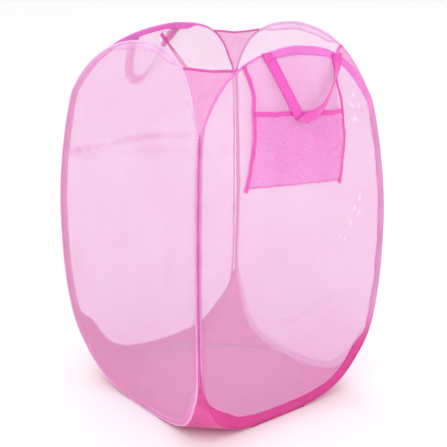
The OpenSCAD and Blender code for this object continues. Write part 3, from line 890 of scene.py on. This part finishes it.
def ribbon(name, k, route, outs, widths, twists, ends):
    """Flat strap along a route of (u, z) points on panel k, each with its distance out, width and twist.

    A twist turns the strap about its own length, in degrees. Each end is cut aslant by its slope in ends, so
    that two legs meet along a fold.
    """
    count = 60
    uz = curve_points(route, count)
    along = np.linspace(0, len(route) - 1, count)
    spread = lambda values: np.interp(along, range(len(route)), values)
    ease = lambda values: smooth_rows(np.array(values, float)[:, None], along)[:, 0]
    centre = wall_point(k, uz[:, 0], uz[:, 1], ease(outs))
    tangent = unit(np.gradient(centre, axis=0))
    facing = unit(np.cross(tangent, np.cross(np.tile(OUT[k], (count, 1)), tangent)))
    flat = np.cross(tangent, facing)
    turn = np.radians(ease(twists))[:, None]
    side = flat * np.cos(turn) + facing * np.sin(turn)
    normal = np.cross(side, tangent)
    sections = flat_section(spread(widths) * MM, STRAP_HALF * MM)
    strap = swept(name, centre, side, normal, sections)
    travel = arc_length(centre) / (STRAP_WIDTH * MM)
    slant = ends[0] * ramp(1 - travel) + ends[1] * ramp(1 - (travel[-1] - travel))
    shear = tangent[:, None] * (sections[..., :1] * slant[:, None, None])
    flat_points = np.array([v.co for v in strap.data.vertices]) + shear.reshape(-1, 3)
    strap.data.vertices.foreach_set("co", flat_points.ravel())
    return strap, centre, tangent, side, normal


def strap_edge_stitches(name, body, centre, tangent, side, normal, inset):
    """Two lines of stitching a little in from the strap's edges."""
    paths = [centre + side * edge * inset * MM + normal * STRAP_HALF * MM for edge in (-1, 1)]
    sew(name, [(path[2:-2], tangent[2:-2], normal[2:-2]) for path in paths], 3.8, 2.4, body, "strap_webbing")


# Legs of each handle as (name, panel, route, distances out, widths, twists, slopes of the ends)
LEGS = (
    ("front_strap_long", FRONT, [(-39.2, 556), (-29.5, 538), (-12.5, 504), (4, 470)],
     [4.6, 8.0, 12.0, 15.4], [17, 17, 17, 17], [0, 2, 0, 0], (0, -0.9)),
    ("front_strap_short", FRONT, [(4, 470), (14, 474), (32.5, 477), (50.5, 486.5), (65.5, 502.5), (77, 519.5),
                                  (84, 533), (85.6, 541.5)],
     [17.0, 16.6, 15.6, 14.0, 12.0, 9.0, 6.0, 4.6], [17, 17, 16, 15, 15, 16, 17, 17],
     [0, -4, -12, -26, -38, -32, -12, 0], (1.05, 0)),
    ("back_strap_long", BACK, [(60, 548), (57, 528), (53, 506), (48, 484)],
     [5.2, 6.5, 8.0, 9.0], [17, 17, 17, 17], [0, 2, 0, 0], (0, 0)),
    ("back_strap_short", BACK, [(48, 483), (36, 478), (22, 482), (10, 496), (2, 514), (-5, 534), (-12, 553)],
     [7.6, 7.4, 7.4, 7.2, 6.8, 6.0, 5.2], [17, 15, 14, 14, 16, 17, 17], [-4, -12, -30, -48, -52, -22, 0],
     (0, 0)),
)

ribbons = [ribbon(f"{leg_name}_leg", *shape) for leg_name, *shape in LEGS]
for (leg_name, k, *_), (leg, *line) in zip(LEGS, ribbons):
    body = f"{PANELS[k]}_handle"
    dress(leg, webbing, body, "strap_webbing", f"{PANELS[k]}_handle_strap")
    strap_edge_stitches(f"{leg_name}_stitching", body, *line, inset=6.2)


TAB_HALF = 0.65
# Heights along a sewn tab from its handle's end, and how far it stands out from the wall there
TAB_RISE = np.array([-1.0, 3.0, 8.0, 12.5])
TAB_OUT = np.array([4.0, 3.6, 3.3, 3.0])
# The boxed cross that sews it down: half its width, its foot and its head
BOX_HALF, BOX_FOOT, BOX_HEAD = 6.4, 1.0, 11.0


def handle_tab(k, name, u, z, lean):
    """Strap end turned over the casing in line with its leg, and sewn down with a boxed cross."""
    rows = curve_points(np.stack([TAB_RISE, TAB_OUT], 1), 14)
    cols = np.linspace(-STRAP_WIDTH / 2, STRAP_WIDTH / 2, 10)
    rise, across = np.broadcast_arrays(rows[:, :1], cols[None])
    grid = wall_point(k, u + across + lean * rise, z + rise, rows[:, 1:])
    tab = sheet_object(name, grid, np.stack([z + rise, across], -1) * MM, 2 * TAB_HALF * MM)
    dress(tab, webbing, "bag", "strap_webbing", f"{PANELS[k]}_handle_tabs")
    spots = [(-BOX_HALF, BOX_FOOT), (BOX_HALF, BOX_FOOT), (BOX_HALF, BOX_HEAD), (-BOX_HALF, BOX_HEAD)]
    sides = [(spots[i], spots[(i + 1) % 4]) for i in range(4)] + [(spots[0], spots[2]), (spots[1], spots[3])]
    normal = np.tile(wall_normal(k, z + 6), (8, 1))
    lines = []
    for side in sides:
        a, b = (wall_point(k, u + c + lean * r, z + r, np.interp(r, TAB_RISE, TAB_OUT) + 0.7)
                for c, r in side)
        lines.append((np.linspace(a, b, 8), np.tile(unit(b - a), (8, 1)), normal))
    sew(f"{name}_stitching", lines, 2.9, 2.0, slot="strap_webbing", radius=0.26)


# Sewn ends of each handle as (panel, label, u, z), and how far each leans as it rises
HANDLE_ENDS = ((FRONT, "a", -40, 555, -0.45), (FRONT, "b", 86, 540, 0.1),
               (BACK, "a", -12, 553, -0.3), (BACK, "b", 60, 547, 0.12))

for k, end_label, *place in HANDLE_ENDS:
    handle_tab(k, f"{PANELS[k]}_handle_tab_{end_label}", *place)

# ---------------- pocket

POCKET_TOP_LEFT, POCKET_TOP_RIGHT = (-82, 549), (81, 537)
HEM_LEFT, HEM_RIGHT = (-75, 493), (88, 474)
FOOT_LEFT, FOOT_RIGHT = (-94, 389), (82, 370)
POCKET_GAP = 10.0
POCKET_FOOT_OUT = 2.6
EDGE_BOW = 5.0
TOP_BOW = 6.0
HEM_WIDTH = 6.4
FOOT_SEAM_WIDTH = 2.6
# How far the tapes at the pocket's sides stand out, as (height, distance)
SIDE_TAPE_OUT = ((374, 2.2), (386, POCKET_FOOT_OUT), (480, POCKET_GAP), (512, 6.0), (545, 2.6))


def between(start, end, across, down, bow=0.0):
    """Points from start to end as (u, z), by shares of the way across and down; bow moves them sideways."""
    return np.stack([mix(start[0], end[0], across) + bow, mix(start[1], end[1], down)], -1)


def pocket_left(t):
    return between(HEM_LEFT, FOOT_LEFT, t * t, t)


def pocket_right(t):
    return between(HEM_RIGHT, FOOT_RIGHT, t, t, EDGE_BOW * np.sin(math.pi * t))


def above_left(t):
    return between(HEM_LEFT, POCKET_TOP_LEFT, t, t, TOP_BOW * np.sin(math.pi * t))


def above_right(t):
    return between(HEM_RIGHT, POCKET_TOP_RIGHT, t, t)


def under_crown(u):
    """Height where the front casing's lower edge is, at u across the panel."""
    rows = np.linspace(SEAM_TOP_ROW, LAST, 80)
    heights = []
    for side in (-1, 1):
        edge_u, edge_z = edge_rows(1, rows, inside_band(FRONT, side, rows))
        heights.append(np.interp(np.abs(u), edge_u[::-1], edge_z[::-1]))
    return np.where(u < 0, *heights)


def pocket_cloth(name, left, right, relief, follow, material, slot, replaced):
    """Net between two edges given from the foot up; follow is how far each row rises to meet the crown."""
    rows, cols = len(left), 48
    t = np.linspace(0, 1, cols)[None]
    u = mix(left[:, :1], right[:, :1], t)
    z = mix(left[:, 1:], right[:, 1:], t)
    z = z + follow[:, None] * (under_crown(u) - z)
    out = relief(np.linspace(0, 1, rows)[:, None], t, u, z)
    obj = sheet_object(name, wall_point(FRONT, u, z, out), np.stack([u, z], -1) * MM, NET_THICK)
    dress(obj, material, "bag", slot, replaced)


def pocket_layers():
    up = np.linspace(1, 0, 44)
    rise = np.linspace(0.05, 1, 20)
    left = np.vstack([pocket_left(up), above_left(rise)])
    right = np.vstack([pocket_right(up), above_right(rise)])
    follow = np.concatenate([0 * up, ramp((rise - 0.2) / 0.8)])

    def close_to_wall(r, t, u, z):
        return 1.3 + 0.5 * np.sin(u / 17 + 1) * np.sin(z / 21) * np.sin(math.pi * t)

    def belly(r, t, u, z):
        """The front layer stands off towards its mouth, bellies a little and gathers along its foot."""
        stand_off = mix(POCKET_FOOT_OUT, POCKET_GAP, r)
        full = 2.6 * np.sin(math.pi * t) * np.sin(math.pi * r) ** 0.8
        gathers = 0.8 * np.sin(u / 5.0 + 0.5 * np.sin(z / 9)) * (1 - r) ** 2 * np.sin(math.pi * t)
        drape = 0.7 * np.sin(u / 19 + z / 31) * np.sin(math.pi * t) * np.sin(math.pi * r)
        return stand_off + full + gathers + drape

    pocket_cloth("pocket_backing_net", left, right, close_to_wall, follow, pocket_backing, "gusset_mesh",
                 "pocket_back")
    pocket_cloth("pocket_front_net", pocket_left(up), pocket_right(up), belly, 0 * up, pocket_net,
                 "pocket_mesh", "pocket_front")


def pocket_cross_band(name, t, width, out, sag, material, slot, replaced, stitch_lines):
    """Band across the pocket at depth t, with its lines of stitching."""
    count = 90
    s = np.linspace(0, 1, count)
    a, b = pocket_left(np.array([t]))[0], pocket_right(np.array([t]))[0]
    wave = 0.6 * np.sin(s * 21) + 0.4 * np.sin(s * 47 + 1)
    height = mix(a[1], b[1], s) + wave * sag - 1.5 * sag * np.sin(math.pi * s)
    path = wall_point(FRONT, mix(a[0], b[0], s), height, out + 0.5 + 0.5 * sag * np.sin(s * 16))
    tangent = unit(np.gradient(path, axis=0))
    rise = unit(np.cross(wall_normal(FRONT, np.full(count, a[1])), tangent))
    normal = np.cross(tangent, rise)
    thin = 0.8
    band = swept(name, path, rise, normal, flat_section(np.full(count, width * MM), thin * MM))
    dress(band, material, "bag", slot, replaced)
    for i, line in enumerate(stitch_lines):
        raised = path + (rise * line * width + normal * thin) * MM
        sew(f"{name}_stitching_{i}", [(raised, tangent, normal)], 3.9, 2.5, slot=slot)


def pocket_side_tape(name, side_points, above_points, end, replaced, foot_width, top_width):
    """Folded tape down one side of the pocket, on up to the crown and a little past the pocket's foot."""
    count = 130
    route = [*side_points(np.linspace(1.04, 0, 9)), *above_points(np.array([0.3, 0.6, 0.9])), end]
    uz = curve_points(route, count)
    rise = np.linspace(0, 1, count)
    # out over the foot seam, furthest at the hem and back to the wall below the crown, without corners
    out = np.interp(uz[:, 1], *zip(*SIDE_TAPE_OUT))
    kernel = np.hanning(15) / np.hanning(15).sum()
    out = np.convolve(np.pad(out, len(kernel) // 2, mode="edge"), kernel, mode="valid")
    wander = 0.7 * np.sin(rise * 19) + 0.4 * np.sin(rise * 43 + 1)
    centre = wall_point(FRONT, uz[:, 0] + wander, uz[:, 1], out)
    tangent = unit(np.gradient(centre, axis=0))
    side = unit(np.cross(tangent, wall_normal(FRONT, uz[:, 1])))
    normal = np.cross(side, tangent)
    width = mix(foot_width, top_width, rise) * (1 + 0.06 * np.sin(rise * 60) + 0.05 * np.sin(rise * 23))
    tape = swept(name, centre, side, normal, flat_section(width * MM, TAPE_HALF * MM))
    dress(tape, trim_tape, "bag", "hot_pink_tape", replaced)
    sew(f"{name}_stitching", [(centre + normal * 0.84 * MM, tangent, normal)], 3.9, 2.5)


pocket_layers()
pocket_cross_band("pocket_hem_tape", 0.03, HEM_WIDTH, POCKET_GAP, 1.0, trim_tape, "hot_pink_tape",
                  "pocket_hem", (-0.32, 0.32))
pocket_cross_band("pocket_foot_seam", 0.985, FOOT_SEAM_WIDTH, POCKET_FOOT_OUT, 0.5, pocket_net,
                  "pocket_mesh", "pocket_bottom_seam", (0.0,))
pocket_side_tape("pocket_left_tape", pocket_left, above_left, (-83, 554), "pocket_left_binding", 6.2, 6.2)
pocket_side_tape("pocket_right_tape", pocket_right, above_right, (79, 547), "pocket_right_binding", 5.6, 3.2)

# ---------------- elastic storage loop inside the back crown


LOOP_TOP = np.array([-15.0, 122.0, 553.0]) * MM
LOOP_FOOT = np.array([27.0, 122.0, 500.0]) * MM
# The cord's half width and half thickness, and half the gap between the loop's two legs
CORD_WIDE, CORD_THICK, LOOP_REACH = 1.35, 0.9, 1.75


def closure():
    """Elastic loop: two legs that spread from a sewn tab and turn round at the foot."""
    length = np.linalg.norm(LOOP_FOOT - LOOP_TOP)
    run = unit(LOOP_FOOT - LOOP_TOP)
    side = unit(np.cross(run, [0, 1, 0]))
    reach = side * LOOP_REACH * MM
    s = np.linspace(0, 1, 28)
    out_leg = [LOOP_TOP + run * length * t + reach * ramp(t * 1.6) for t in s]
    bend = [LOOP_FOOT + run * LOOP_REACH * MM * math.sin(a) + reach * math.cos(a)
            for a in np.linspace(0, math.pi, 14)[1:-1]]
    back_leg = [LOOP_TOP + run * length * t - reach * ramp(t * 1.6) for t in s[::-1]]
    path = np.array(out_leg + bend + back_leg)
    tangent = unit(np.gradient(path, axis=0))
    depth = np.tile([0.0, 1.0, 0.0], (len(path), 1))
    angle = np.arange(10) * 2 * math.pi / 10
    ring = np.stack([np.cos(angle) * CORD_WIDE, np.sin(angle) * CORD_THICK], 1) * MM
    loop = swept("storage_loop", path, np.cross(tangent, depth), depth, np.tile(ring, (len(path), 1, 1)))
    dress(loop, elastic, "closure", "elastic_cord", "closure_loop")
    # tab that holds both ends of the loop
    middle = np.array([LOOP_TOP + run * t * MM for t in (-6, 2, 8)])
    section = flat_section([5.4 * MM, 6.0 * MM, 5.4 * MM], [1.3 * MM, 1.5 * MM, 1.3 * MM], 16)
    wrap = swept("storage_loop_tab", middle, np.tile(side, (3, 1)), depth[:3], section)
    dress(wrap, trim_tape, "closure", "elastic_cord")


closure()

# ---------------- steel inside the casings

steels = {f"{panel_name}_wire": spring_steel for panel_name in PANELS}
steels["crimp_sleeves"] = crimp_steel
for node_name, steel in steels.items():
    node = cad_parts[node_name]
    node.data.materials.clear()
    node.data.materials.append(steel)

# ---------------- stage, light and camera

FLOOR_REACH = 12.0
FLOOR_GAP = 0.0002
AIM = (0, 0, 0.3)
# Area lights as (name, place, size, power)
LIGHTS = (("key", (-1.8, -1.6, 2.6), 2.4, 22), ("fill", (2.2, -1.8, 1.6), 2.6, 9),
          ("rim", (0.6, 2.6, 2.2), 2.2, 9))
# The photo's view: degrees round from the front and down, then distance and height in metres
CAMERA_AZIMUTH, CAMERA_PITCH, CAMERA_DISTANCE, CAMERA_HEIGHT = -38.4, 19.04, 1.602, 0.828
CAMERA_LENS, CAMERA_SHIFT = 87.3, 0.0087


def floor():
    n = Nodes("floor_white")
    n.look({"Base Color": (0.96, 0.96, 0.96, 1), "Roughness": 0.8})
    corners = [(x * FLOOR_REACH, y * FLOOR_REACH, 0) for x, y in ((-1, -1), (1, -1), (1, 1), (-1, 1))]
    plane = new_object("floor", corners, [(0, 1, 2, 3)], smooth=False)
    plane.location.z = -FLOOR_GAP
    plane.data.materials.append(n.material)


def area_light(name, place, size, power):
    data = bpy.data.lights.new(name, "AREA")
    data.shape = "DISK"
    data.size = size
    data.energy = power
    obj = bpy.data.objects.new(name, data)
    bpy.context.scene.collection.objects.link(obj)
    obj.location = place
    obj.rotation_euler = (Vector(AIM) - Vector(place)).to_track_quat("-Z", "Y").to_euler()


def studio():
    world = bpy.data.worlds.new("studio")
    bpy.context.scene.world = world
    world.use_nodes = True
    background = world.node_tree.nodes["Background"]
    background.inputs["Color"].default_value = WHITE
    background.inputs["Strength"].default_value = 1.0
    for light in LIGHTS:
        area_light(*light)
    bpy.context.scene.view_settings.view_transform = "Standard"
    bpy.context.scene.cycles.transparent_max_bounces = 32


def camera():
    azimuth, pitch = math.radians(CAMERA_AZIMUTH), math.radians(CAMERA_PITCH)
    data = bpy.data.cameras.new("camera")
    data.sensor_width = 36.0
    data.lens = CAMERA_LENS
    data.shift_x = CAMERA_SHIFT
    data.clip_end = 60
    obj = bpy.data.objects.new("camera", data)
    bpy.context.scene.collection.objects.link(obj)
    obj.location = (CAMERA_DISTANCE * math.sin(azimuth), -CAMERA_DISTANCE * math.cos(azimuth), CAMERA_HEIGHT)
    obj.rotation_euler = (math.pi / 2 - pitch, 0, azimuth)
    bpy.context.scene.camera = obj


floor()
studio()
camera()
